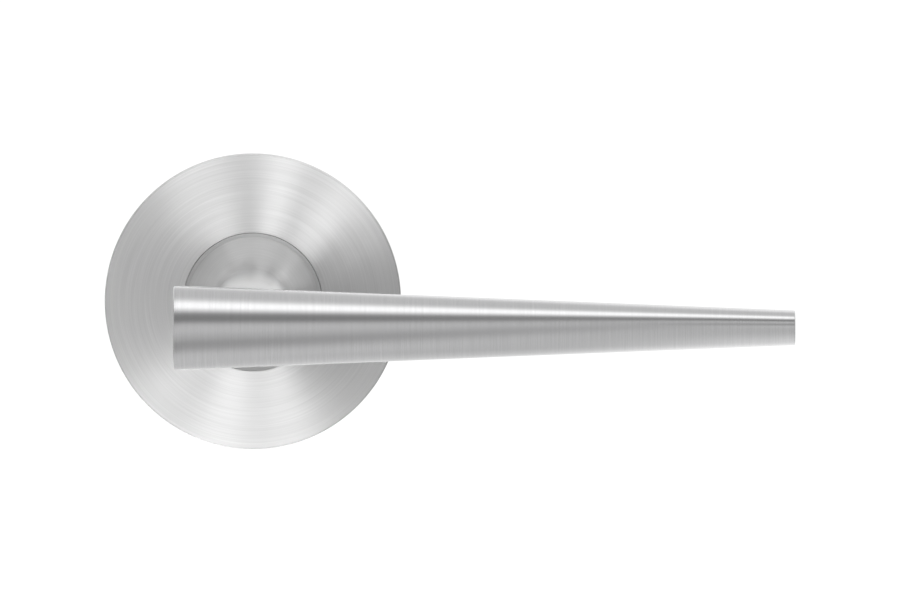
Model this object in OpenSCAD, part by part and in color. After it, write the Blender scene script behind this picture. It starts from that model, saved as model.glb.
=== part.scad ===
// Sprung door lever handle on a flat round rose, for one side of a door.
//
// X runs along the lever towards its tip and Z is up. The door's face is the plane y = 0, the
// door lies on the +Y side, and the room on the -Y side. The origin is the point where the
// lever's turning axis meets the door's face.
//
// The visible rose is only 2.5 mm thick, so the spring cassette is let into a round pocket in
// the door. Most pieces are drawn in a front view: x to the right, y up, and z as the height
// out from the door's face, negative inside the door. from_door() stands them up.

/* [Lever grip] */
// Length of the tapered grip from end to end
grip_length = 123.9; // [105:0.1:140]
// Diameter of the grip's thick end
grip_big_d = 16.9; // [16:0.1:18]
// Diameter of the grip's tip
grip_tip_d = 6.9; // [5:0.1:9]
// How far the thick end reaches past the turning axis
grip_overhang = 15.2; // [12:0.1:20]
// Distance from the door's face to the grip's centre line
grip_standoff = 50; // [44:1:60]

/* [Neck] */
// Diameter of the neck's shaft
shaft_d = 15; // [14:0.1:15]
// Diameter of the lip at the foot of the neck
lip_d = 28; // [27:0.1:28.5]
// Width of the flat ledge on top of the lip
lip_ledge = 0.7; // [0.4:0.1:1]
// Height of the lip above the rose
lip_rise = 0.4; // [0.2:0.1:0.8]
// Radius of the curve between the flared foot and the shaft
flare_radius = 8; // [5:0.5:12]

/* [Rose] */
// Diameter of the rose
rose_d = 60; // [58:0.5:70]
// Thickness of the rose as seen from the side
rose_t = 2.5; // [2.5:0.1:3.5]
// Gap all round between the neck's lip and the rose
rose_gap = 0.08; // [0.08:0.01:0.3]

/* [Cassette] */
// Diameter of the cassette that sits in the door's pocket
cassette_d = 51; // [51:0.5:54]
// Distance between the two through-bolts
bolt_spacing = 38; // [38:0.5:39]
// Length of each through-bolt, head included
bolt_length = 50; // [35:5:70]

/* [Spindle] */
// Width of the square spindle across its flats
spindle_w = 8; // [7:0.5:8]
// How far the spindle reaches into the door
spindle_reach = 60; // [40:5:80]

/* [Return spring] */
// Thickness of the spring's wire
wire_d = 1.25; // [1:0.05:1.3]
// Full turns of wire
spring_turns = 3; // [2:1:3]
// How far the lever turns down
lever_travel = 45; // [30:5:50]

/* [Hidden] */
$fn = 96;

// Through cuts run this far past the faces that they open.
cut = 1;

// Grip
grip_big_edge = 0.35;
grip_tip_edge = 0.2;
grip_slope = (grip_big_d - grip_tip_d) / 2 / grip_length;
socket_r = 5;
socket_depth_past_axis = 3.3;
spigot_end_gap = 0.3;

// Rose cover, keeper and glide ring, as heights out from the door's face
cover_plate_t = 1;
cover_back_h = rose_t - cover_plate_t;
cover_bore_r = lip_d / 2 + rose_gap;
cover_rim_inner_r = 27.7;
cover_edge = 0.25;
bore_edge = 0.05;
keeper_inner_r = 17;
keeper_outer_r = 26.5;
keeper_t = 0.4;
glide_t = 0.5;
glide_inner_r = lip_d / 2 + rose_gap / 2;
glide_outer_r = 15.6;

// Cassette housing
flange_r = 27.4;
flange_t = 0.8;
front_wall_h = -2.6;
plate_front_h = -10.2;
plate_back_h = -11.6;
cavity_r = 15.6;
recess_r = 23.6;
rear_chamfer = 0.6;
bolt_post_r = 3.7;
bolt_sleeve_r = 3.2;
bolt_sleeve_end_h = -18;

// Bearings
front_journal_r = 11;
rear_journal_r = 8.5;
running_gap = 0.04;
front_bush_r = 12.4;
front_bush_flange_r = 13.5;
front_bush_flange_h = 1;
front_bush_seat_h = 0.1;
front_bush_end_h = -7;
rear_bush_r = 9.8;
rear_bush_flange_r = 11.2;
rear_bush_flange_h = -12.3;

// Neck, behind its lip
lip_top_h = rose_t + lip_rise;
lip_back_h = 1.1;
lip_edge = 0.08;
key_front_h = -8.1;
key_back_h = -9.9;
key_r = 9.6;
key_flat = 8;
key_gap = 0.05;
neck_end_h = -15.2;
neck_end_chamfer = 0.4;
spindle_socket_gap = 0.05;
spindle_front_h = 23.5;

// Cam, its lug at the top, and the stops
cam_front_h = -8.2;
cam_back_h = -9.8;
cam_r = 12.2;
lug_r = 15.2;
lug_half_angle = 11;
lug_angle = 90;
stop_pin_r = 1.2;
stop_front_h = -8.4;
stop_clearance_angle = 1.1;

// Return spring
spring_r = 14;
spring_front_h = -3.4;
spring_back_h = -7.3;
front_leg_h = -1.4;
rear_leg_h = -9.6;
leg_hole_r = wire_d / 2 + 0.12;
stop_angle = lug_half_angle + asin(stop_pin_r / spring_r) + stop_clearance_angle;

// Retaining stack behind the rear bush
wave_inner_r = 8.8;
wave_outer_r = 10.6;
wave_t = 0.3;
wave_swing = 0.15;
wave_count = 3;
wave_mid_h = -12.75;
thrust_front_h = -13.1;
thrust_t = 0.4;
groove_front_h = -13.5;
groove_back_h = -14.4;
groove_r = 7.9;
clip_front_h = -13.55;
clip_t = 0.8;
clip_outer_r = 9.9;
clip_gap_half_angle = 24;
clip_lug_r = 1.3;
clip_eye_r = 0.55;

// Fasteners
bolt_r = 2;
bolt_shank_r = 1.75;
bolt_shank_length = 20;
bolt_hole_r = 2.15;
bolt_head_r = 3.75;
bolt_head_t = 1.9;
bolt_head_h = 0.7;
small_screw_r = 1.25;
small_screw_head_r = 2.3;
small_screw_head_t = 1.1;
small_screw_length = 6;
small_screw_circle_r = 20;
magnet_r = 3;
magnet_t = 1.5;
magnet_circle_r = 21;
corner_angles = [45, 135, 225, 315];
grub_h = 15;
grub_r = 2.45;
grub_hole_r = 2.5;
grub_outer_z = 7.3;
grub_length = 4;
grub_tip_r = 1.7;
grub_tip_length = 0.8;

// Stands a front view up: its x stays, its y becomes up, and its z points out of the door.
module from_door() { rotate([90, 0, 0]) children(); }

// A flat ring or disc between two heights.
module ring(inner_r, outer_r, low, high) {
    translate([0, 0, low]) linear_extrude(high - low) difference() {
        circle(outer_r);
        if (inner_r > 0) circle(inner_r);
    }
}

// Copies at the two through-bolts.
module at_bolts() { for (side = [-1, 1]) translate([side * bolt_spacing / 2, 0, 0]) children(); }

// Copies at the four corners of a circle.
module at_corners(circle_r) {
    for (a = corner_angles) rotate(a) translate([circle_r, 0, 0]) children();
}

// The grip as a solid of the given growth all round, standing where it belongs.
module grip_cone() {
    big_r = grip_big_d / 2;
    tip_r = grip_tip_d / 2;
    translate([-grip_overhang, -grip_standoff, 0]) rotate([0, 90, 0]) rotate_extrude() union() {
        polygon([
            [0, 0], [big_r - grip_big_edge, 0], [big_r, grip_big_edge],
            [tip_r, grip_length - grip_tip_edge], [tip_r - grip_tip_edge, grip_length],
            [0, grip_length]
        ]);
        intersection() {
            translate([big_r - grip_big_edge, grip_big_edge]) circle(grip_big_edge);
            square([big_r, grip_length]);
        }
        intersection() {
            translate([tip_r - grip_tip_edge, grip_length - grip_tip_edge]) circle(grip_tip_edge);
            square([tip_r, grip_length]);
        }
    }
}

module lever_grip() {
    color("silver") difference() {
        grip_cone();
        from_door() ring(0, socket_r, 0, grip_standoff + socket_depth_past_axis);
    }
}

// Half section of the neck: distance from the axis, and height out from the door's face.
module neck_section() {
    shaft_r = shaft_d / 2;
    foot_r = lip_d / 2 - lip_ledge;
    curve_r = shaft_r + flare_radius;
    curve_h = foot_r + lip_top_h - shaft_r + (sqrt(2) - 1) * flare_radius;
    reach = flare_radius / sqrt(2);
    spigot_h = grip_standoff + socket_depth_past_axis - spigot_end_gap;
    difference() {
        union() {
            polygon([
                [0, neck_end_h], [rear_journal_r - neck_end_chamfer, neck_end_h],
                [rear_journal_r, neck_end_h + neck_end_chamfer], [rear_journal_r, groove_back_h],
                [groove_r, groove_back_h], [groove_r, groove_front_h],
                [rear_journal_r, groove_front_h], [rear_journal_r, key_back_h],
                [key_r - key_gap, key_back_h], [key_r - key_gap, key_front_h],
                [front_journal_r, key_front_h], [front_journal_r, lip_back_h],
                [lip_d / 2, lip_back_h], [lip_d / 2, lip_top_h - lip_edge],
                [lip_d / 2 - lip_edge, lip_top_h], [foot_r, lip_top_h],
                [curve_r - reach, curve_h - reach], [shaft_r, curve_h],
                [shaft_r, grip_standoff], [socket_r, grip_standoff],
                [socket_r, spigot_h], [0, spigot_h]
            ]);
            translate([lip_d / 2 - lip_edge, lip_top_h - lip_edge]) circle(lip_edge, $fn = 24);
        }
        translate([curve_r, curve_h]) circle(flare_radius);
    }
}

module lever_neck() {
    socket_w = spindle_w + 2 * spindle_socket_gap;
    key_length = key_front_h - key_back_h;
    color("silver") difference() {
        from_door() rotate_extrude() neck_section();
        // the saddle that the grip lies in, round the spigot
        difference() {
            grip_cone();
            from_door() ring(0, socket_r, 0, grip_standoff + socket_depth_past_axis);
        }
        from_door() {
            translate([-socket_w / 2, -socket_w / 2, neck_end_h - cut])
                cube([socket_w, socket_w, spindle_front_h + 0.5 - neck_end_h + cut]);
            for (side = [-1, 1]) translate([0, side * (key_flat - key_gap + key_r / 2), key_back_h])
                translate([-key_r, -key_r / 2, 0]) cube([2 * key_r, key_r, key_length]);
            translate([0, 0, grub_h]) rotate([90, 0, 0]) cylinder(r = grub_hole_r, h = shaft_d);
        }
    }
}

module grub_screw() {
    color("dimgray") from_door() translate([0, -grub_outer_z, grub_h]) rotate([-90, 0, 0])
        difference() {
            union() {
                cylinder(r = grub_r, h = grub_length - grub_tip_length);
                cylinder(r = grub_tip_r, h = grub_length);
            }
            translate([0, 0, -cut]) cylinder(d = 2.5 / cos(30), h = 2 + cut, $fn = 6);
        }
}

module spindle() {
    corner_r = spindle_w / sqrt(2);
    clear_r = corner_r + 0.4;
    end_cone = 1.2;
    color("lightsteelblue") from_door() difference() {
        intersection() {
            translate([-spindle_w / 2, -spindle_w / 2, -spindle_reach])
                cube([spindle_w, spindle_w, spindle_front_h + spindle_reach]);
            translate([0, 0, -spindle_reach]) union() {
                cylinder(r1 = clear_r - end_cone, r2 = clear_r, h = end_cone);
                translate([0, 0, end_cone]) cylinder(r = clear_r, h = spindle_reach + spindle_front_h);
            }
        }
        // the dimple that the grub screw's tip seats in
        translate([0, -spindle_w / 2 - cut, grub_h]) rotate([-90, 0, 0])
            cylinder(r = grub_tip_r + 0.1, h = cut + grub_length - grub_outer_z + spindle_w / 2);
    }
}

// A wedge of a circle, its middle at an angle.
module wedge(middle_angle, half_angle, outer_r) {
    rotate(middle_angle) polygon([
        [0, 0], [outer_r, -outer_r * tan(half_angle)], [outer_r, outer_r * tan(half_angle)]
    ]);
}

module drive_cam() {
    color("slategray") from_door() translate([0, 0, cam_back_h])
        linear_extrude(cam_front_h - cam_back_h) difference() {
            union() {
                circle(cam_r);
                intersection() {
                    circle(lug_r);
                    wedge(lug_angle, lug_half_angle, 2 * lug_r);
                }
            }
            intersection() {
                circle(key_r);
                translate([-key_r, -key_flat]) square([2 * key_r, 2 * key_flat]);
            }
            rotate(lug_angle) translate([spring_r, 0]) circle(leg_hole_r);
        }
}

module circlip() {
    eye_r = clip_outer_r - clip_lug_r / 2;
    eye_angle = clip_gap_half_angle + asin(clip_lug_r / eye_r);
    color("dimgray") from_door() translate([0, 0, clip_front_h - clip_t])
        linear_extrude(clip_t) difference() {
            union() {
                difference() {
                    circle(clip_outer_r);
                    wedge(-90, clip_gap_half_angle, 2 * clip_outer_r);
                }
                for (side = [-1, 1]) rotate(-90 + side * eye_angle)
                    translate([eye_r, 0]) circle(clip_lug_r);
            }
            circle(groove_r + 0.05);
            for (side = [-1, 1]) rotate(-90 + side * eye_angle)
                translate([eye_r, 0]) circle(clip_eye_r);
        }
}

module thrust_washer() {
    color("gainsboro") from_door()
        ring(rear_journal_r + 0.1, wave_outer_r + 0.2, thrust_front_h - thrust_t, thrust_front_h);
}

// A thin ring that rises and falls as it goes round.
module wave_washer() {
    steps = 72;
    rows = [for (i = [0:steps - 1]) let (
        a = 360 * i / steps,
        mid = wave_mid_h + wave_swing * sin(wave_count * a),
        corner = [[wave_inner_r, -1], [wave_outer_r, -1], [wave_outer_r, 1], [wave_inner_r, 1]]
    ) [for (c = corner) [c[0] * cos(a), c[0] * sin(a), mid + c[1] * wave_t / 2]]];
    color("gray") from_door() polyhedron(
        points = [for (row = rows) each row],
        faces = [for (i = [0:steps - 1]) let (next = (i + 1) % steps) each [for (k = [0:3])
            let (m = (k + 1) % 4) each [
                [4 * i + k, 4 * next + m, 4 * i + m], [4 * i + k, 4 * next + k, 4 * next + m]
            ]]]
    );
}

module rose_cover() {
    rose_r = rose_d / 2;
    color("silver") from_door() rotate_extrude() union() {
        polygon([
            [cover_bore_r, cover_back_h], [cover_rim_inner_r, cover_back_h],
            [cover_rim_inner_r, 0], [rose_r, 0], [rose_r, rose_t - cover_edge],
            [rose_r - cover_edge, rose_t], [cover_bore_r + bore_edge, rose_t],
            [cover_bore_r, rose_t - bore_edge]
        ]);
        translate([rose_r - cover_edge, rose_t - cover_edge]) circle(cover_edge, $fn = 24);
    }
}

module keeper_ring() {
    color("lightslategray") from_door()
        ring(keeper_inner_r, keeper_outer_r, cover_back_h - keeper_t, cover_back_h);
}

module glide_ring() {
    color("ivory") from_door()
        ring(glide_inner_r, glide_outer_r, cover_back_h - glide_t, cover_back_h);
}

// Half section of the cassette's casting, before its round recesses are cut.
module housing_section() {
    body_r = cassette_d / 2;
    polygon([
        [front_bush_r, front_wall_h], [front_bush_r, front_bush_seat_h],
        [front_bush_flange_r + 0.1, front_bush_seat_h],
        [front_bush_flange_r + 0.1, flange_t], [flange_r, flange_t], [flange_r, 0], [body_r, 0],
        [body_r, plate_back_h + rear_chamfer], [body_r - rear_chamfer, plate_back_h],
        [recess_r, plate_back_h], [recess_r, plate_front_h], [cavity_r, plate_front_h],
        [cavity_r, front_wall_h]
    ]);
}

module cassette_housing() {
    sink_r = bolt_head_r + 0.15;
    color("darkgray") from_door() difference() {
        union() {
            rotate_extrude() housing_section();
            at_bolts() {
                ring(0, bolt_post_r, plate_back_h, plate_front_h + cut);
                ring(0, bolt_sleeve_r, bolt_sleeve_end_h, plate_back_h);
            }
        }
        at_bolts() {
            ring(0, bolt_hole_r, bolt_sleeve_end_h - cut, flange_t + cut);
            translate([0, 0, bolt_head_h - bolt_head_t])
                cylinder(r1 = bolt_hole_r, r2 = sink_r, h = bolt_head_t);
            ring(0, sink_r, bolt_head_h, flange_t + cut);
        }
        at_corners(magnet_circle_r) ring(0, magnet_r, flange_t - magnet_t, flange_t + cut);
        at_corners(small_screw_circle_r)
            ring(0, small_screw_r, plate_front_h - cut, plate_back_h + small_screw_length + 0.5);
        rotate(lug_angle) translate([spring_r, 0, 0])
            ring(0, leg_hole_r, front_wall_h - cut, front_leg_h + 0.3);
    }
}

module cassette_back_plate() {
    color("gainsboro") from_door() difference() {
        ring(rear_bush_r, recess_r - 0.1, plate_back_h, plate_front_h);
        at_bolts() ring(0, bolt_post_r + 0.2, plate_back_h - cut, plate_front_h + cut);
        at_corners(small_screw_circle_r) {
            ring(0, small_screw_r + 0.1, plate_back_h - cut, plate_front_h + cut);
            translate([0, 0, plate_back_h]) cylinder(
                r1 = small_screw_head_r + 0.1, r2 = small_screw_r + 0.1, h = small_screw_head_t
            );
        }
        at_stops() ring(0, stop_pin_r, plate_back_h - cut, plate_front_h + cut);
    }
}

// Copies at the stop that the lug rests on and at the one that ends the lever's travel.
module at_stops() {
    for (a = [lug_angle + stop_angle, lug_angle - lever_travel - stop_angle])
        rotate(a) translate([spring_r, 0, 0]) children();
}

module stop_pins() {
    color("dimgray") from_door() at_stops() ring(0, stop_pin_r, plate_back_h, stop_front_h);
}

module front_bush() {
    bore_r = front_journal_r + running_gap;
    color("ivory") from_door() union() {
        ring(bore_r, front_bush_flange_r, front_bush_seat_h, front_bush_flange_h);
        ring(bore_r, front_bush_r, front_bush_end_h, front_bush_flange_h);
    }
}

module rear_bush() {
    bore_r = rear_journal_r + running_gap;
    color("ivory") from_door() union() {
        ring(bore_r, rear_bush_r, plate_back_h, plate_front_h);
        ring(bore_r, rear_bush_flange_r, rear_bush_flange_h, plate_back_h);
    }
}

// The wire's centre line: a straight front leg, the turns, and a straight rear leg.
function spring_path(steps) = concat(
    [[0, spring_r, front_leg_h], [0, spring_r, spring_front_h + 0.4]],
    [for (i = [0:steps]) let (a = lug_angle + 360 * spring_turns * i / steps)
        [spring_r * cos(a), spring_r * sin(a),
         spring_front_h + (spring_back_h - spring_front_h) * i / steps]],
    [[0, spring_r, spring_back_h - 0.4], [0, spring_r, rear_leg_h]]
);

// The wire is swept with rings that face along the path. Each ring is square to a direction
// halfway between the stretches before and after it, and its sides keep towards the axis.
module return_spring() {
    sides = 8;
    path = spring_path(24 * spring_turns);
    last = len(path) - 1;
    along = [for (i = [0:last]) let (
        d = path[min(i + 1, last)] - path[max(i - 1, 0)]
    ) d / norm(d)];
    rings = [for (i = [0:last]) let (
        inward = [path[i][0], path[i][1], 0] / spring_r,
        u = inward - (inward * along[i]) * along[i],
        un = u / norm(u),
        v = cross(along[i], un)
    ) [for (k = [0:sides - 1]) let (a = 360 * k / sides)
        path[i] + wire_d / 2 * (cos(a) * un + sin(a) * v)]];
    color("dimgray") from_door() polyhedron(
        points = [for (r = rings) each r],
        faces = concat(
            [[for (k = [0:sides - 1]) k]],
            [for (i = [0:last - 1]) each [for (k = [0:sides - 1]) let (m = (k + 1) % sides)
                each [[sides * i + k, sides * (i + 1) + k, sides * (i + 1) + m],
                      [sides * i + k, sides * (i + 1) + m, sides * i + m]]]],
            [[for (k = [sides - 1:-1:0]) sides * last + k]]
        )
    );
}

module cover_magnets() {
    color("silver") from_door() at_corners(magnet_circle_r)
        ring(0, magnet_r - 0.03, flange_t - magnet_t, flange_t);
}

// A countersunk head with a hexagon socket, its flat face up at height zero.
module countersunk_head(r, head_r, head_t, socket_w, socket_t) {
    difference() {
        translate([0, 0, -head_t]) cylinder(r1 = r, r2 = head_r, h = head_t);
        translate([0, 0, -socket_t]) cylinder(d = socket_w / cos(30), h = socket_t + cut, $fn = 6);
    }
}

module back_plate_screws() {
    r = small_screw_r;
    head_t = small_screw_head_t;
    color("lightsteelblue") from_door() at_corners(small_screw_circle_r)
        translate([0, 0, plate_back_h]) rotate([180, 0, 0]) union() {
            countersunk_head(r, small_screw_head_r, head_t, 1.5, 0.8);
            ring(0, r, -small_screw_length, -head_t);
        }
}

// Each bolt's plain shank is thinner than its thread, so it stays free in the cassette's hole.
module through_bolts() {
    thread_start = -bolt_head_t - bolt_shank_length;
    color("lightsteelblue") from_door() at_bolts() translate([0, 0, bolt_head_h]) union() {
        countersunk_head(bolt_shank_r, bolt_head_r, bolt_head_t, 2.5, 1.4);
        ring(0, bolt_shank_r, thread_start, -bolt_head_t);
        ring(0, bolt_r, -bolt_length, thread_start);
    }
}

lever_grip();
lever_neck();
grub_screw();
spindle();
drive_cam();
circlip();
thrust_washer();
wave_washer();
rose_cover();
keeper_ring();
glide_ring();
cassette_housing();
cassette_back_plate();
front_bush();
rear_bush();
return_spring();
stop_pins();
cover_magnets();
back_plate_screws();
through_bolts();
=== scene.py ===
"""Looks of the door lever handle: fine meshes for the turned, wound and threaded pieces, a
procedural finish for every piece, and a pale studio.

Lengths are in metres, and MM turns millimetres into metres. The frame's X runs along the lever,
+Y into the door and Z up. A turned piece is drawn as rows of (radius, height) round its axis,
where height is the distance out from the door's face, negative inside the door.
"""

import math

import bmesh
import bpy
from mathutils import Matrix, Vector


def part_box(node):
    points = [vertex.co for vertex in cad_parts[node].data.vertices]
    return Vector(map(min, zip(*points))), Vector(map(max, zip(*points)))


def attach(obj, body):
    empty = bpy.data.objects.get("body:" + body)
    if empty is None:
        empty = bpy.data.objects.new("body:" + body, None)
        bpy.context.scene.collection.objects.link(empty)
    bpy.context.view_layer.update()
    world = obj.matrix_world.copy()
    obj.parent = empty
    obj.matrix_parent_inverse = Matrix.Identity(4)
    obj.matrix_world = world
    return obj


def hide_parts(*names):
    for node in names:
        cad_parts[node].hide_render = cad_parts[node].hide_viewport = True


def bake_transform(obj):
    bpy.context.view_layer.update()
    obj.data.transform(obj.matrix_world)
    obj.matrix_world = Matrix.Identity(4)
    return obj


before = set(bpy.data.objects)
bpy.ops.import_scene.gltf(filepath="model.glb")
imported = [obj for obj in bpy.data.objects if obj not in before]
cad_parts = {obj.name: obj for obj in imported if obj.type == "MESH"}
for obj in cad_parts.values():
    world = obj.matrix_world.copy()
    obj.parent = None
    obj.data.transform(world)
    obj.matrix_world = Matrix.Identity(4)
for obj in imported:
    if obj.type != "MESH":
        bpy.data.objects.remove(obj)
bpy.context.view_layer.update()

MM = 0.001
TURN = 2 * math.pi

# ---------------------------------------------------------------- sizes, in millimetres

grip_low, grip_high = (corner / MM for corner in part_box("lever_grip"))
rose_low, rose_high = (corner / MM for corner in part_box("rose_cover"))
neck_low, neck_high = (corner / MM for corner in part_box("lever_neck"))
grub_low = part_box("grub_screw")[0] / MM
bolt_low, bolt_high = (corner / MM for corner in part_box("through_bolts"))
wave_low, wave_high = (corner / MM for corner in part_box("wave_washer"))
screw_low, screw_high = (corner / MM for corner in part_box("back_plate_screws"))

GRIP_LEFT = grip_low.x
GRIP_LENGTH = grip_high.x - grip_low.x
GRIP_STANDOFF = -(grip_high.y + grip_low.y) / 2
GRIP_BIG_R = (grip_high.z - grip_low.z) / 2
GRIP_TIP_R = 3.45
GRIP_BIG_EDGE, GRIP_TIP_EDGE = 0.35, 0.2

ROSE_R = rose_high.z
ROSE_T = -rose_low.y
ROSE_BORE_R = 14.08
ROSE_RIM_INNER_R = 27.7
ROSE_BACK_H = 1.5
ROSE_EDGE, BORE_EDGE = 0.25, 0.05

LIP_R, LIP_TOP_H, LIP_BACK_H, LIP_EDGE = 14, 2.9, 1.1, 0.08
FOOT_R, FLARE_R, SHAFT_R, SPIGOT_R = 13.3, 8, 7.5, 5
SPIGOT_END_H = -neck_low.y
GRIP_SOCKET_H = SPIGOT_END_H + 0.3
FRONT_JOURNAL_R, REAR_JOURNAL_R = 11, 8.5
KEY_R, KEY_FLAT, KEY_FRONT_H, KEY_BACK_H = 9.55, 7.95, -8.1, -9.9
GROOVE_R, GROOVE_FRONT_H, GROOVE_BACK_H = 7.9, -13.5, -14.4
NECK_END_H, NECK_END_CHAMFER = -neck_high.y, 0.4
SPINDLE_SOCKET_HALF, SPINDLE_SOCKET_H = 4.05, 24
GRUB_H, GRUB_FACE_Z, GRUB_R, GRUB_HOLE_R = 15, grub_low.z, 2.45, 2.5

SPRING_R, WIRE_R, SPRING_TURNS = 14, 0.625, 3
SPRING_FRONT_H, SPRING_BACK_H = -3.4, -7.3
SPRING_FRONT_LEG_H, SPRING_REAR_LEG_H = -1.4, -9.6
SPRING_BEND_R = 1.0

WAVE_INNER_R, WAVE_OUTER_R, WAVE_COUNT, WAVE_T = 8.8, wave_high.x, 3, 0.3
WAVE_MID_H = -(wave_low.y + wave_high.y) / 2
WAVE_SWING = (wave_high.y - wave_low.y - WAVE_T) / 2

BOLT_X = bolt_high.x - 3.75
BOLT_LENGTH = bolt_high.y - bolt_low.y
SCREW_CIRCLE_R = 20


# ---------------------------------------------------------------- meshes

def new_object(name, mesh):
    obj = bpy.data.objects.new(name, mesh)
    bpy.context.scene.collection.objects.link(obj)
    return obj


def object_from(name, mesh, smooth=True):
    """An object from a bmesh, which it frees."""
    bmesh.ops.remove_doubles(mesh, verts=mesh.verts, dist=0.0005 * MM)
    bmesh.ops.recalc_face_normals(mesh, faces=mesh.faces)
    for face in mesh.faces:
        face.smooth = smooth
    data = bpy.data.meshes.new(name)
    mesh.to_mesh(data)
    mesh.free()
    return new_object(name, data)


def even_normals(obj, sharp_degrees=50):
    """Large faces keep their own direction where they meet a small rounded edge."""
    obj.data.set_sharp_from_angle(angle=math.radians(sharp_degrees))
    modifier = obj.modifiers.new("even_normals", "WEIGHTED_NORMAL")
    modifier.weight = 50
    modifier.keep_sharp = True


def arc(centre, radius, start, end, steps):
    """Points of an arc in a profile, by angles in degrees from the radius direction."""
    angles = [math.radians(start + (end - start) * i / steps) for i in range(steps + 1)]
    return [(centre[0] + radius * math.cos(a), centre[1] + radius * math.sin(a)) for a in angles]


def line(start, end, steps):
    """Points between two profile points, the first of them left out."""
    return [(start[0] + (end[0] - start[0]) * i / steps, start[1] + (end[1] - start[1]) * i / steps)
            for i in range(1, steps + 1)]


def value_at(value, angle):
    return value(angle) if callable(value) else value


def add_rows(mesh, rows, segments, place, closed=False):
    """Rows round an axis. A row is (radius, height), either of them a number or a function of the
    angle, and a row at radius zero ends in a fan. With closed, the last row joins the first.
    place turns (x, y, height) of the piece's own front view, in millimetres, into the frame."""
    rings = []
    for radius, height in rows:
        turns = [0] if radius == 0 else [TURN * k / segments for k in range(segments)]
        ring = []
        for a in turns:
            r = value_at(radius, a)
            ring.append(mesh.verts.new(place(r * math.cos(a), r * math.sin(a), value_at(height, a)) * MM))
        rings.append(ring)
    for lower, upper in zip(rings, rings[1:] + rings[:1] if closed else rings[1:]):
        for k in range(segments):
            m = (k + 1) % segments
            low = lower if len(lower) == 1 else [lower[k], lower[m]]
            high = upper if len(upper) == 1 else [upper[m], upper[k]]
            if len(low + high) > 2:
                mesh.faces.new(low + high)


def cut(obj, cutter):
    """Takes one closed mesh out of another."""
    modifier = obj.modifiers.new("cut", "BOOLEAN")
    modifier.object, modifier.solver = cutter, "EXACT"
    result = obj.evaluated_get(bpy.context.evaluated_depsgraph_get())
    data = bpy.data.meshes.new_from_object(result)
    obj.modifiers.clear()
    obj.data = data
    bpy.data.objects.remove(cutter)


def turned(name, rows, segments, place, closed=False):
    mesh = bmesh.new()
    add_rows(mesh, rows, segments, place, closed)
    return object_from(name, mesh)


def out_of_door(x, y, height):
    """Front view to frame: x to the right, y up, height out of the door."""
    return Vector((x, -height, y))


def along_lever(x, y, height):
    """Heights run along the grip from its thick end."""
    return Vector((GRIP_LEFT + height, -GRIP_STANDOFF + x, y))


def up_to_axis(x, y, height):
    """Heights run down from the grub screw's outer face, below the neck."""
    return Vector((x, -GRUB_H - y, GRUB_FACE_Z - height))


def make_grip():
    edge, tip_edge = GRIP_BIG_EDGE, GRIP_TIP_EDGE
    big = arc((GRIP_BIG_R - edge, edge), edge, -90, 0, 6)
    tip = arc((GRIP_TIP_R - tip_edge, GRIP_LENGTH - tip_edge), tip_edge, 0, 90, 5)
    rows = [(0, 0)] + line((0.4, 0), big[0], 6)[:-1] + big
    rows += line(big[-1], tip[0], 72)[:-1] + tip
    rows += line(tip[-1], (0.3, GRIP_LENGTH), 3) + [(0, GRIP_LENGTH)]
    grip = turned("grip", rows, 320, along_lever)
    low = GRIP_STANDOFF - 2 * GRIP_BIG_R
    socket = [(0, low), (SPIGOT_R + 0.01, low), (SPIGOT_R + 0.01, GRIP_SOCKET_H), (0, GRIP_SOCKET_H)]
    cut(grip, turned("grip_socket", socket, 96, out_of_door))
    even_normals(grip)
    return grip


def grip_radius(x):
    """The cone's radius at a place along X."""
    return GRIP_BIG_R + (GRIP_TIP_R - GRIP_BIG_R) * (x - GRIP_LEFT) / GRIP_LENGTH


def square_radius(angle):
    return SPINDLE_SOCKET_HALF / max(abs(math.cos(angle)), abs(math.sin(angle)))


def keyed_radius(angle):
    """Round, with two flats above and below."""
    return min(KEY_R, KEY_FLAT / max(abs(math.sin(angle)), 1e-6))


def saddle_height(radius):
    """How far out the grip's surface is over a circle round the neck's axis."""
    def height(angle):
        x, z = radius * math.cos(angle), radius * math.sin(angle)
        return GRIP_STANDOFF - math.sqrt(grip_radius(x) ** 2 - z ** 2)
    return height


def between(low, high, share):
    """A row's height, part of the way from one height to another."""
    return lambda angle: value_at(low, angle) * (1 - share) + value_at(high, angle) * share


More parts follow.
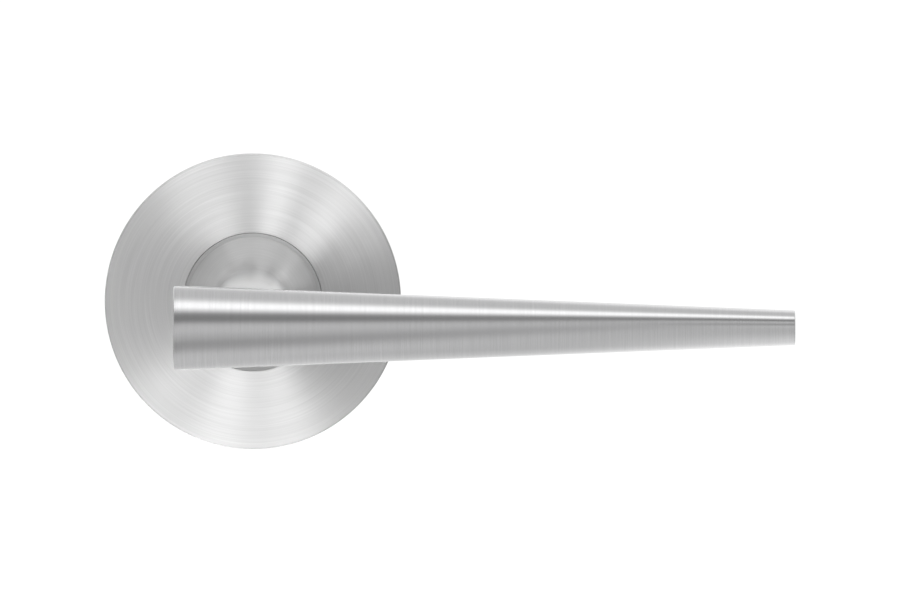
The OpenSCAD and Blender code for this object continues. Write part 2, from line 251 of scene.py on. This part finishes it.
def make_neck():
    curve_r = SHAFT_R + FLARE_R
    curve_h = FOOT_R + LIP_TOP_H - SHAFT_R + (math.sqrt(2) - 1) * FLARE_R
    flare = arc((curve_r, curve_h), FLARE_R, 225, 180, 16)
    end, chamfer = NECK_END_H, NECK_END_CHAMFER
    socket = [(0, SPINDLE_SOCKET_H), (square_radius, SPINDLE_SOCKET_H), (square_radius, end)]
    tail = [
        (REAR_JOURNAL_R - chamfer, end), (REAR_JOURNAL_R, end + chamfer),
        (REAR_JOURNAL_R, GROOVE_BACK_H), (GROOVE_R, GROOVE_BACK_H), (GROOVE_R, GROOVE_FRONT_H),
        (REAR_JOURNAL_R, GROOVE_FRONT_H), (REAR_JOURNAL_R, KEY_BACK_H),
        (keyed_radius, KEY_BACK_H), (keyed_radius, KEY_FRONT_H),
        (FRONT_JOURNAL_R, KEY_FRONT_H), (FRONT_JOURNAL_R, LIP_BACK_H), (LIP_R, LIP_BACK_H),
    ]
    lip = arc((LIP_R - LIP_EDGE, LIP_TOP_H - LIP_EDGE), LIP_EDGE, 0, 90, 4)
    foot = line((FOOT_R, LIP_TOP_H), flare[0], 8)
    saddle = saddle_height(SHAFT_R)
    shaft = [(SHAFT_R, between(curve_h, saddle, i / 60)) for i in range(1, 61)]
    inner = [(r, saddle_height(r)) for r, _ in line((SHAFT_R, 0), (SPIGOT_R, 0), 16)]
    spigot = [(SPIGOT_R, SPIGOT_END_H), (0, SPIGOT_END_H)]
    rows = socket + tail + lip + [(FOOT_R, LIP_TOP_H)] + foot + flare[1:] + shaft + inner + spigot
    neck = turned("neck", rows, 288, out_of_door)
    hole = [(0, GRUB_FACE_Z), (GRUB_HOLE_R, GRUB_FACE_Z), (GRUB_HOLE_R, 3), (0, 3)]
    cut(neck, turned("grub_hole", hole, 48, up_to_axis))
    even_normals(neck, 30)
    return neck


def make_rose():
    outer = arc((ROSE_R - ROSE_EDGE, ROSE_T - ROSE_EDGE), ROSE_EDGE, 0, 90, 6)
    inner = arc((ROSE_BORE_R + BORE_EDGE, ROSE_T - BORE_EDGE), BORE_EDGE, 90, 180, 3)
    rows = [(ROSE_RIM_INNER_R, ROSE_BACK_H), (ROSE_RIM_INNER_R, 0), (ROSE_R, 0)]
    rows += outer + line(outer[-1], inner[0], 24)[:-1] + inner + [(ROSE_BORE_R, ROSE_BACK_H)]
    rose = turned("rose", rows, 384, out_of_door, closed=True)
    even_normals(rose)
    return rose


def make_wave_washer():
    def surface(side):
        return lambda angle: WAVE_MID_H + WAVE_SWING * math.sin(WAVE_COUNT * angle) + side * WAVE_T / 2
    rows = [(WAVE_INNER_R, surface(-1)), (WAVE_OUTER_R, surface(-1)),
            (WAVE_OUTER_R, surface(1)), (WAVE_INNER_R, surface(1))]
    washer = turned("wave_spring", rows, 180, out_of_door, closed=True)
    even_normals(washer)
    return washer


def spring_path():
    """The wire's centre line: a leg along the axis, a bend, the turns, a bend and a leg."""
    bend = SPRING_BEND_R
    half = [(bend * (1 - math.cos(a)), bend * math.sin(a)) for a in
            (math.radians(90) * i / 8 for i in range(9))]
    front = [(0, SPRING_FRONT_LEG_H)] + [(turn, SPRING_FRONT_H + bend - drop) for turn, drop in half]
    rear = [(-turn, SPRING_BACK_H - bend + drop) for turn, drop in reversed(half)] + [(0, SPRING_REAR_LEG_H)]
    whole = TURN * SPRING_TURNS * SPRING_R
    steps = 96 * SPRING_TURNS
    start, end = front[-1], (whole + rear[0][0], rear[0][1])
    coil = [(start[0] + (end[0] - start[0]) * i / steps, start[1] + (end[1] - start[1]) * i / steps)
            for i in range(1, steps)]
    path = front + coil + [(whole + turn, height) for turn, height in rear]
    points = []
    for length, height in path:
        angle = TURN / 4 + length / SPRING_R
        points.append(out_of_door(SPRING_R * math.cos(angle), SPRING_R * math.sin(angle), height))
    return points


def swept(name, path, radius, sides):
    """A round wire along a path, its ends slightly rounded."""
    mesh = bmesh.new()
    last = len(path) - 1
    heading = [(path[min(i + 1, last)] - path[max(i - 1, 0)]).normalized() for i in range(last + 1)]
    side = heading[0].orthogonal().normalized()
    rings = []
    for i, (point, ahead) in enumerate(zip(path, heading)):
        side = (side - ahead * side.dot(ahead)).normalized()
        up = ahead.cross(side)
        spans = [(point, radius)]
        if i == 0:
            spans = [(point, radius * 0.8), (point + ahead * radius * 0.2, radius)]
        if i == last:
            spans = [(point - ahead * radius * 0.2, radius), (point, radius * 0.8)]
        for centre, r in spans:
            rings.append([mesh.verts.new((centre + r * (math.cos(a) * side + math.sin(a) * up)) * MM)
                          for a in (TURN * k / sides for k in range(sides))])
    for one, other in zip(rings, rings[1:]):
        for k in range(sides):
            m = (k + 1) % sides
            mesh.faces.new((one[k], one[m], other[m], other[k]))
    mesh.faces.new(rings[0])
    mesh.faces.new(rings[-1])
    return object_from(name, mesh)


def make_return_spring():
    spring = swept("return_coil", spring_path(), WIRE_R, 16)
    even_normals(spring, 40)
    return spring


def hexagon(width):
    """Radius of a hexagon as a function of the angle, by its width across flats."""
    def radius(angle):
        return width / 2 / math.cos((angle + math.pi / 6) % (math.pi / 3) - math.pi / 6)
    return radius


def add_thread(mesh, place, top, bottom, shank_r, thread_r, pitch, segments=36):
    """A thread along a true helix between two heights, from a shank above it. Returns the radius
    of its lower end."""
    profile = (0.0, 0.06, 0.5, 0.94, 1.0, 0.94, 0.5, 0.06)
    root_r = thread_r - 0.61 * pitch
    end_r = root_r - 0.2 * pitch
    steps = len(profile)
    rings = []
    for i in range((math.ceil((top - bottom) / pitch) + 2) * steps):
        ring = []
        for k in range(segments):
            height = bottom + pitch * (i / steps - 1 + k / segments)
            height = min(max(height, bottom), top)
            fade = min((top - height) / pitch, 1)
            crest = root_r + (thread_r - root_r) * profile[i % steps]
            radius = min(crest * fade + shank_r * (1 - fade), end_r + height - bottom)
            a = TURN * k / segments
            ring.append(mesh.verts.new(place(radius * math.cos(a), radius * math.sin(a), height) * MM))
        rings.append(ring)
    for i in range(len(rings) - 1 - steps):
        for k in range(segments):
            shift, m = (steps, 0) if k == segments - 1 else (0, k + 1)
            mesh.faces.new((rings[i][k], rings[i + shift][m], rings[i + 1 + shift][m], rings[i + 1][k]))
    return end_r


def add_screw(mesh, place, head_r, head_t, length, shank_r, shank_end, thread_r, pitch, hex_w, hex_t):
    """A countersunk screw with a hexagon socket. Its head's face is at height zero and its point
    at -length. The thread runs from shank_end to the point."""
    edge = 0.12
    end_r = add_thread(mesh, place, -shank_end, -length, shank_r, thread_r, pitch)
    add_rows(mesh, [(0, -length), (end_r, -length)], 36, place)
    add_rows(mesh, [
        (shank_r, -shank_end), (shank_r, -head_t), (head_r - edge, -edge * 1.2), (head_r, -edge * 0.6),
        (head_r - edge * 0.7, 0), (hexagon(hex_w), 0), (hexagon(hex_w), -hex_t), (0, -hex_t - 0.15),
    ], 36, place)


def merged(name, mesh):
    """Joins a screw's thread, head and point into one closed surface."""
    bmesh.ops.remove_doubles(mesh, verts=mesh.verts, dist=0.002 * MM)
    bmesh.ops.dissolve_degenerate(mesh, edges=mesh.edges, dist=0.001 * MM)
    screws = object_from(name, mesh)
    even_normals(screws, 42)
    return screws


def merged_screws(name, places, sizes):
    mesh = bmesh.new()
    for place in places:
        add_screw(mesh, place, *sizes)
    return merged(name, mesh)


def make_bolts():
    head_face = -bolt_low.y
    places = [lambda x, y, height, side=side: out_of_door(side * BOLT_X + x, y, head_face + height)
              for side in (-1, 1)]
    sizes = (3.75, 1.9, BOLT_LENGTH, 1.75, 1.9 + 20, 2, 0.7, 2.5, 1.4)
    return merged_screws("bolts", places, sizes)


def make_grub_screw():
    """A headless screw with a dog point, 4 mm long."""
    mesh = bmesh.new()
    end_r = add_thread(mesh, up_to_axis, -0.25, -3.2, GRUB_R - 0.35, GRUB_R, 0.8)
    add_rows(mesh, [(0, -4), (1.5, -4), (1.7, -3.8), (1.7, -3.2), (end_r, -3.2)], 36, up_to_axis)
    key = hexagon(2.5)
    head = [(GRUB_R - 0.35, -0.25), (GRUB_R - 0.5, 0), (key, 0), (key, -2), (0, -2.3)]
    add_rows(mesh, head, 36, up_to_axis)
    return merged("grub", mesh)


def make_small_screws():
    head_face = -screw_high.y
    corners = [math.radians(45 + 90 * k) for k in range(4)]
    places = [lambda x, y, height, a=a: out_of_door(
                  SCREW_CIRCLE_R * math.cos(a) - x, SCREW_CIRCLE_R * math.sin(a) + y, head_face - height)
              for a in corners]
    sizes = (2.3, 1.1, screw_high.y - screw_low.y, 1.2, 1.5, 1.25, 0.45, 1.5, 0.8)
    return merged_screws("small_screws", places, sizes)


# ---------------------------------------------------------------- materials

def add(tree, kind, inputs=None, **settings):
    """A shader node. inputs maps a socket's name or number to a value or to another socket."""
    node = tree.nodes.new("ShaderNode" + kind)
    for key, value in settings.items():
        setattr(node, key, value)
    for key, value in (inputs or {}).items():
        if isinstance(value, bpy.types.NodeSocket):
            tree.links.new(value, node.inputs[key])
        else:
            node.inputs[key].default_value = value
    return node


def math_node(tree, operation, one, other=0.0, third=0.0):
    return add(tree, "Math", {0: one, 1: other, 2: third}, operation=operation).outputs[0]


def times(tree, one, other):
    return math_node(tree, "MULTIPLY", one, other)


def weighted(tree, pairs):
    """The sum of values, each times its weight."""
    total = 0.0
    for value, weight in pairs:
        total = math_node(tree, "MULTIPLY_ADD", value, weight, total)
    return total


def new_material(name):
    material = bpy.data.materials.new(name)
    material.use_nodes = True
    return material, material.node_tree, material.node_tree.nodes["Principled BSDF"]


def position(tree):
    """Where a point of the surface is, in millimetres of the frame."""
    place = add(tree, "TexCoord").outputs["Object"]
    return add(tree, "VectorMath", {0: place, "Scale": 1 / MM}, operation="SCALE").outputs[0]


def combine(tree, x=0.0, y=0.0, z=0.0):
    return add(tree, "CombineXYZ", {"X": x, "Y": y, "Z": z}).outputs[0]


def noise(tree, place, scale=1.0, detail=2.0):
    return add(tree, "TexNoise", {"Vector": place, "Scale": scale, "Detail": detail}).outputs[0]


def map_range(tree, value, low, high, to_low, to_high, smooth=False):
    return add(tree, "MapRange", {"Value": value, 1: low, 2: high, 3: to_low, 4: to_high},
               interpolation_type="SMOOTHSTEP" if smooth else "LINEAR").outputs[0]


def shaded(tree, colour, shade):
    return add(tree, "VectorMath", {0: colour, "Scale": shade}, operation="SCALE").outputs[0]


def finish(tree, shader, colour, roughness, relief, depth, metallic=1.0, edge=0.0, tangent=None):
    """Joins the parts of a finish to its shader. depth is the relief's height in millimetres, and
    edge the radius that sharp edges look as if they had."""
    bump = {"Height": relief, "Strength": 1.0, "Distance": depth * MM}
    if edge:
        bump["Normal"] = add(tree, "Bevel", {"Radius": edge * MM}, samples=4).outputs[0]
    tree.links.new(colour, shader.inputs["Base Color"])
    tree.links.new(roughness, shader.inputs["Roughness"])
    tree.links.new(add(tree, "Bump", bump).outputs[0], shader.inputs["Normal"])
    if tangent:
        tree.links.new(tangent, shader.inputs["Tangent"])
    shader.inputs["Metallic"].default_value = metallic


def along_grip(tree):
    """Distance along the lathe's axis and two measures of the turn round it."""
    x, y, z = add(tree, "SeparateXYZ", {0: position(tree)}).outputs
    return x, math_node(tree, "ADD", y, GRIP_STANDOFF), z


def along_rose(tree):
    x, y, z = add(tree, "SeparateXYZ", {0: position(tree)}).outputs
    flat = add(tree, "VectorMath", {0: combine(tree, x, 0.0, z)}, operation="LENGTH")
    return flat.outputs["Value"], x, z


def along_neck(tree):
    """The radius less the height changes across the ledge, the flare and the shaft alike."""
    x, y, z = add(tree, "SeparateXYZ", {0: position(tree)}).outputs
    return math_node(tree, "ADD", along_rose(tree)[0], y), x, z


def turned_steel(name, along, axis, colour, roughness, anisotropy, reach, contrast, layers, painted_rim_shade=None):
    """Stainless steel finished on a lathe: fine scratches that run round the piece. layers are (scratches
    per mm, weight), and rim is (radius, shade) for a painted shade on the edge: beyond that radius the base
    colour is darkened by that factor."""
    material, tree, shader = new_material(name)
    step, one, other = along(tree)
    near = [times(tree, one, reach), times(tree, other, reach)]
    scratches = [(noise(tree, combine(tree, times(tree, step, density), *near), 1.0, 1.5), weight)
                 for density, weight in layers]
    marks = weighted(tree, scratches)
    shade = map_range(tree, marks, 0.25, 0.75, 1 - contrast, 1 + contrast)
    # Painted shade: the base colour is darkened outside the edge's radius.
    if painted_rim_shade:
        edge_r, painted_edge_shade = painted_rim_shade
        shade = times(tree, shade, map_range(tree, step, edge_r, edge_r + 0.1, 1, painted_edge_shade))
    rough = map_range(tree, marks, 0.25, 0.75, roughness + 0.02, roughness - 0.02)
    tangent = add(tree, "Tangent", direction_type="RADIAL", axis=axis).outputs[0]
    finish(tree, shader, shaded(tree, colour, shade), rough, marks, 0.0015, tangent=tangent)
    shader.inputs["Anisotropic"].default_value = anisotropy
    shader.inputs["Anisotropic Rotation"].default_value = 0.25
    return material


def worked(name, colour, roughness, contrast, depth, layers, stretch=(1, 1, 1), metallic=1.0, wear=0.05,
           along=None):
    """A finish with a grain and with patches of wear. layers are (grains per mm, weight); stretch
    draws the grain out along an axis, and along makes it follow a lathe's turns instead."""
    material, tree, shader = new_material(name)
    place = position(tree)
    grain = add(tree, "VectorMath", {0: place, 1: stretch}, operation="MULTIPLY").outputs[0]
    if along:
        step, one, other = along(tree)
        grain = combine(tree, step, times(tree, one, 0.04), times(tree, other, 0.04))
    marks = weighted(tree, [(noise(tree, grain, density, 2.5), weight) for density, weight in layers])
    patches = noise(tree, place, 0.22, 4.0)
    shade = times(tree, map_range(tree, marks, 0.3, 0.7, 1 - contrast, 1 + contrast),
                  map_range(tree, patches, 0.35, 0.65, 1 - wear, 1 + wear))
    rough = weighted(tree, [(map_range(tree, marks, 0.3, 0.7, roughness + 0.05, roughness - 0.05), 1.0),
                            (map_range(tree, patches, 0.35, 0.65, 0.06, -0.06), 1.0)])
    finish(tree, shader, shaded(tree, colour, shade), rough, marks, depth, metallic, edge=0.08)
    return material


def spangled(name, colour, roughness):
    """Hot-dip zinc on sheet: crystals a few millimetres across, each with its own sheen."""
    material, tree, shader = new_material(name)
    place = position(tree)
    waves = add(tree, "TexNoise", {"Vector": place, "Scale": 0.8}).outputs[1]
    bent = add(tree, "VectorMath", {0: place, 1: waves}, operation="ADD").outputs[0]
    crystal = add(tree, "TexVoronoi", {"Vector": bent, "Scale": 0.45}).outputs["Color"]
    tone = add(tree, "SeparateXYZ", {0: crystal}).outputs[0]
    feathers = noise(tree, place, 3.0, 3.0)
    shade = times(tree, map_range(tree, tone, 0, 1, 0.86, 1.1),
                  map_range(tree, feathers, 0.3, 0.7, 0.96, 1.04))
    rough = weighted(tree, [(map_range(tree, tone, 0, 1, roughness + 0.08, roughness - 0.08), 1.0),
                            (map_range(tree, feathers, 0.3, 0.7, 0.03, -0.03), 1.0)])
    finish(tree, shader, shaded(tree, colour, shade), rough, feathers, 0.004, edge=0.08)
    return material


# ---------------------------------------------------------------- studio

ELEVATION = math.radians(6.19)
TENT_R = 150
TENT_X = (-90, 170)
TENT_ARC = (-150, 150)
# Brightness across the tent's cloth. The places are counted from its dark seam, which is 0:
# the front panel's soft fold is at -1, and the top panel's far edge at 1.
TENT_PROFILE = [
    (-5.5, 0.98), (-4.4, 0.84), (-3.35, 0.71), (-2.5, 0.67), (-1.95, 0.70), (-1.65, 0.76), (-1.44, 0.72),
    (-1.21, 0.53), (-1.0, 0.43), (-0.8, 0.56), (-0.6, 0.67), (-0.41, 0.74), (-0.28, 0.69), (-0.15, 0.46),
    (0.0, 0.29), (0.14, 0.33), (0.32, 0.68), (0.5, 1.25), (0.7, 1.62), (0.85, 1.45), (1.0, 1.1),
    (1.15, 0.86), (1.4, 0.76), (1.8, 0.77), (2.1, 0.92), (2.5, 1.1), (3.3, 1.35),
]


def make_camera():
    """A long lens about 3 m away, looking slightly down."""
    data = bpy.data.cameras.new("camera")
    data.lens = 600
    data.sensor_width = 36
    data.clip_end = 100
    camera = new_object("camera", data)
    target = Vector((39.92, -ROSE_T, 0.41)) * MM
    camera.location = target + 3.037 * Vector((0, -math.cos(ELEVATION), math.sin(ELEVATION)))
    camera.rotation_euler = (math.radians(90) - ELEVATION, 0, 0)
    bpy.context.scene.camera = camera


def curve(tree, value, low, high, points, top=2.0):
    """A smooth curve through a few points, over a range of the value. Results reach up to top."""
    node = add(tree, "FloatCurve", {"Value": map_range(tree, value, low, high, 0, 1)})
    handle = node.mapping.curves[0]
    while len(handle.points) < len(points):
        handle.points.new(0.5, 0.5)
    for point, (place, result) in zip(handle.points, points):
        point.location = ((place - low) / (high - low), result / top)
        point.handle_type = "AUTO_CLAMPED"
    node.mapping.update()
    return times(tree, node.outputs[0], top)


def tent_cloth():
    """Lit cloth. Its seams slant, so they come closer together towards the lever's tip."""
    material, tree, shader = new_material("tent_cloth")
    x, y, z = add(tree, "SeparateXYZ", {0: position(tree)}).outputs
    ahead = math_node(tree, "SUBTRACT", -GRIP_STANDOFF, y)
    angle = math_node(tree, "DEGREES", math_node(tree, "ARCTAN2", z, ahead))
    share = map_range(tree, x, GRIP_LEFT, GRIP_LEFT + GRIP_LENGTH, 0, 1)
    squared = times(tree, share, share)

    def seam(at_left, slant, bend):
        straight = math_node(tree, "MULTIPLY_ADD", share, slant, at_left)
        return math_node(tree, "MULTIPLY_ADD", squared, bend, straight)

    dark, fold, top = seam(30.3, 7, 15), seam(-44, 34, 38), 86
    past = math_node(tree, "SUBTRACT", angle, dark)
    above = math_node(tree, "DIVIDE", past, math_node(tree, "SUBTRACT", top, dark))
    below = math_node(tree, "DIVIDE", past, math_node(tree, "SUBTRACT", dark, fold))
    place = math_node(tree, "ADD", math_node(tree, "MAXIMUM", above, 0),
                      math_node(tree, "MINIMUM", below, 0))
    glow = curve(tree, place, TENT_PROFILE[0][0], TENT_PROFILE[-1][0], TENT_PROFILE)
    hem = times(tree, map_range(tree, angle, -140, -90, 0.22, 0), map_range(tree, share, 0, 0.3, 0.4, 1))
    glow = math_node(tree, "ADD", glow, hem)
    emission = add(tree, "Emission", {"Color": (1, 1, 1, 1), "Strength": glow})
    tree.links.new(emission.outputs[0], tree.nodes["Material Output"].inputs[0])
    tree.nodes.remove(shader)
    material.cycles.emission_sampling = "NONE"
    return material


def make_tent():
    """A tunnel of lit cloth along the lever, open at its ends and towards the door. Only
    reflections show it."""
    mesh = bmesh.new()
    steps = 72
    rows = []
    for x in TENT_X:
        row = []
        for i in range(steps + 1):
            a = math.radians(TENT_ARC[0] + (TENT_ARC[1] - TENT_ARC[0]) * i / steps)
            point = Vector((x, -GRIP_STANDOFF - TENT_R * math.cos(a), TENT_R * math.sin(a)))
            row.append(mesh.verts.new(point * MM))
        rows.append(row)
    for i in range(steps):
        mesh.faces.new((rows[0][i], rows[0][i + 1], rows[1][i + 1], rows[1][i]))
    tent = object_from("light_tent", mesh)
    tent.data.materials.append(tent_cloth())
    tent.visible_camera = False
    tent.visible_diffuse = False
    tent.visible_shadow = False


def make_world():
    """The room: white to the eye and to matt surfaces, with soft boxes for shiny ones."""
    world = bpy.data.worlds.new("studio")
    bpy.context.scene.world = world
    world.use_nodes = True
    world.cycles.sampling_method = "NONE"
    tree = world.node_tree
    way = add(tree, "TexCoord").outputs["Generated"]

    def box(direction, spread, softness, strength):
        lean = add(tree, "VectorMath", {0: way, 1: Vector(direction).normalized()}, operation="DOT_PRODUCT")
        edge, core = math.cos(math.radians(spread + softness)), math.cos(math.radians(spread - softness))
        return map_range(tree, lean.outputs["Value"], edge, core, 0, strength, smooth=True)

    room = 0.5
    for one in (
        box((0, 0.35, 1), 35, 30, 0.5),
        box((0, 1, 0), 45, 35, 0.45),
        box((-1, -0.05, 0), 18, 12, 0.5),
        box((0, 0, -1), 40, 30, 0.15),
        box((1, -0.2, 0), 40, 25, 0.1),
    ):
        room = math_node(tree, "ADD", room, one)
    rays = add(tree, "LightPath").outputs
    white = 1.15
    strength = add(tree, "Mix", {0: rays["Is Glossy Ray"], 2: white, 3: room}).outputs[0]
    tree.links.new(strength, tree.nodes["Background"].inputs["Strength"])
    tree.nodes["Background"].inputs[0].default_value = (1, 1, 1, 1)


def strip_light(name, receivers, angle, tilt, width, length, power):
    """A soft strip 1 m away that shines on a few pieces only. Its place is a turn round the
    rose's face, counted from the right, and a tilt away from the line to the camera."""
    turn, lean = math.radians(angle), math.radians(tilt)
    away = Vector((math.cos(turn) * math.sin(lean), -math.cos(lean), math.sin(turn) * math.sin(lean)))
    across = Vector((-math.sin(turn), 0, math.cos(turn)))
    data = bpy.data.lights.new(name, "AREA")
    data.shape = "RECTANGLE"
    data.size, data.size_y = width, length
    data.energy = power
    data.cycles.use_multiple_importance_sampling = False
    light = new_object(name, data)
    axes = Matrix((across, away.cross(across), away)).transposed()
    light.matrix_world = Matrix.Translation(away) @ axes.to_4x4()
    light.visible_camera = False
    group = bpy.data.collections.new(name + "_receivers")
    for piece in receivers:
        group.objects.link(piece)
    light.light_linking.receiver_collection = group


def make_floor():
    """A door handle sits about a metre above the floor."""
    mesh = bmesh.new()
    bmesh.ops.create_grid(mesh, x_segments=2, y_segments=2, size=40)
    floor = object_from("floor", mesh)
    floor.location.z = -1
    floor.visible_glossy = False
    material, tree, shader = new_material("floor_paper")
    shader.inputs["Base Color"].default_value = (0.93, 0.93, 0.93, 1)
    shader.inputs["Roughness"].default_value = 0.9
    shader.inputs["Specular IOR Level"].default_value = 0
    floor.data.materials.append(material)


# ---------------------------------------------------------------- the handle

# The grip, neck and rose are one steel. Their base colours differ (0.62 on the grip, 0.56 on the neck, 0.58
# on the rose) as painted light and shade, not as different steels.
GRIP_STEEL = turned_steel("grip_steel", along_grip, "X", (0.62, 0.62, 0.625), 0.2, 0.85, 0.1, 0.06,
                          ((9, 0.45), (4.5, 0.4), (1.5, 0.15)))
NECK_STEEL = turned_steel("neck_steel", along_neck, "Y", (0.56, 0.56, 0.56), 0.4, 0.85, 0.1, 0.05,
                          ((6, 0.4), (2, 0.6)))
# The rose's edge beyond 29.65 mm radius gets a painted shade, 15 percent darker in base colour.
ROSE_STEEL = turned_steel("rose_steel", along_rose, "Y", (0.58, 0.58, 0.58), 0.46, 0.96, 0.05, 0.1,
                          ((6, 0.4), (3, 0.4), (1, 0.2)), painted_rim_shade=(29.65, 0.85))
CAST_ZINC = worked("cast_zinc", (0.40, 0.41, 0.42), 0.5, 0.08, 0.02, ((1.6, 0.6), (0.5, 0.4)), wear=0.1)
ZINC_SHEET = spangled("zinc_sheet", (0.58, 0.6, 0.62), 0.36)
ZINC_PLATE = worked("zinc_plate", (0.60, 0.64, 0.69), 0.3, 0.06, 0.004, ((5, 0.6), (1.5, 0.4)), (1, 0.06, 1))
BLACK_STEEL = worked("black_steel", (0.05, 0.05, 0.055), 0.42, 0.15, 0.006, ((2.5, 0.6), (0.7, 0.4)),
                     wear=0.25)
WIRE_STEEL = worked("wire_steel", (0.36, 0.35, 0.34), 0.3, 0.1, 0.004, ((4, 0.7), (1, 0.3)),
                    along=along_rose)
NICKEL = worked("nickel", (0.66, 0.62, 0.56), 0.2, 0.03, 0.003, ((3, 0.7), (1, 0.3)), wear=0.03)
ACETAL = worked("acetal", (0.8, 0.8, 0.78), 0.38, 0.02, 0.006, ((3, 0.6), (1, 0.4)), metallic=0.0, wear=0.02,
                along=along_rose)


def dress(obj, material, slot, body, *nodes):
    """Gives a new piece its finish and its body, and hides the CAD nodes it stands for. slot, the record's
    slot, is not used.
    """
    obj.data.materials.append(material)
    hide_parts(*nodes)
    if body:
        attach(obj, body)


def recoat(node, material):
    """Gives a CAD piece a new finish."""
    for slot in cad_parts[node].material_slots:
        slot.material = material


make_camera()
make_world()
make_floor()
make_tent()
grip, neck, rose = make_grip(), make_neck(), make_rose()
dress(grip, GRIP_STEEL, "satin_grip", "lever", "lever_grip")
dress(neck, NECK_STEEL, "satin_neck", "lever", "lever_neck")
dress(rose, ROSE_STEEL, "satin_rose", "rose", "rose_cover")
dress(make_grub_screw(), BLACK_STEEL, "blackened_steel", "lever", "grub_screw")
dress(make_wave_washer(), WIRE_STEEL, "spring_steel", "lever", "wave_washer")
dress(make_bolts(), ZINC_PLATE, "zinc_plated_steel", "cassette", "through_bolts")
dress(make_small_screws(), ZINC_PLATE, "zinc_plated_steel", "cassette", "back_plate_screws")
spring = make_return_spring()
dress(spring, WIRE_STEEL, "spring_steel", None, "return_spring")
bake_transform(spring)
for material, nodes in (
    (CAST_ZINC, ("cassette_housing",)),
    (ZINC_SHEET, ("thrust_washer", "keeper_ring", "cassette_back_plate")),
    (ZINC_PLATE, ("spindle",)),
    (BLACK_STEEL, ("drive_cam", "circlip", "stop_pins")),
    (NICKEL, ("cover_magnets",)),
    (ACETAL, ("glide_ring", "front_bush", "rear_bush")),
):
    for node in nodes:
        recoat(node, material)

for name, angle, width, power in (
    ("strip_right", 42, 0.25, 2.14), ("strip_top", 76, 0.16, 2.16), ("strip_left", 118, 0.34, 2),
    ("strip_low_left", 231, 0.13, 1.2), ("strip_low", 257, 0.17, 2.15), ("strip_low_right", 283, 0.17, 1.8),
):
    strip_light(name, [rose], angle, 33, width, 0.2, power)
strip_light("fill_left", [rose], 175, 28, 1.2, 0.7, 2.5)
strip_light("fill_front", [neck], 90, 8, 0.5, 0.5, 0.5)
strip_light("fill_behind", [neck], 90, 135, 3.0, 0.4, 4.5)
strip_light("fill_side_right", [neck], 30, 97, 0.6, 0.4, 0.85)
strip_light("fill_side_left", [neck], 145, 97, 0.6, 0.4, 0.85)
bpy.context.scene.view_settings.view_transform = "Standard"
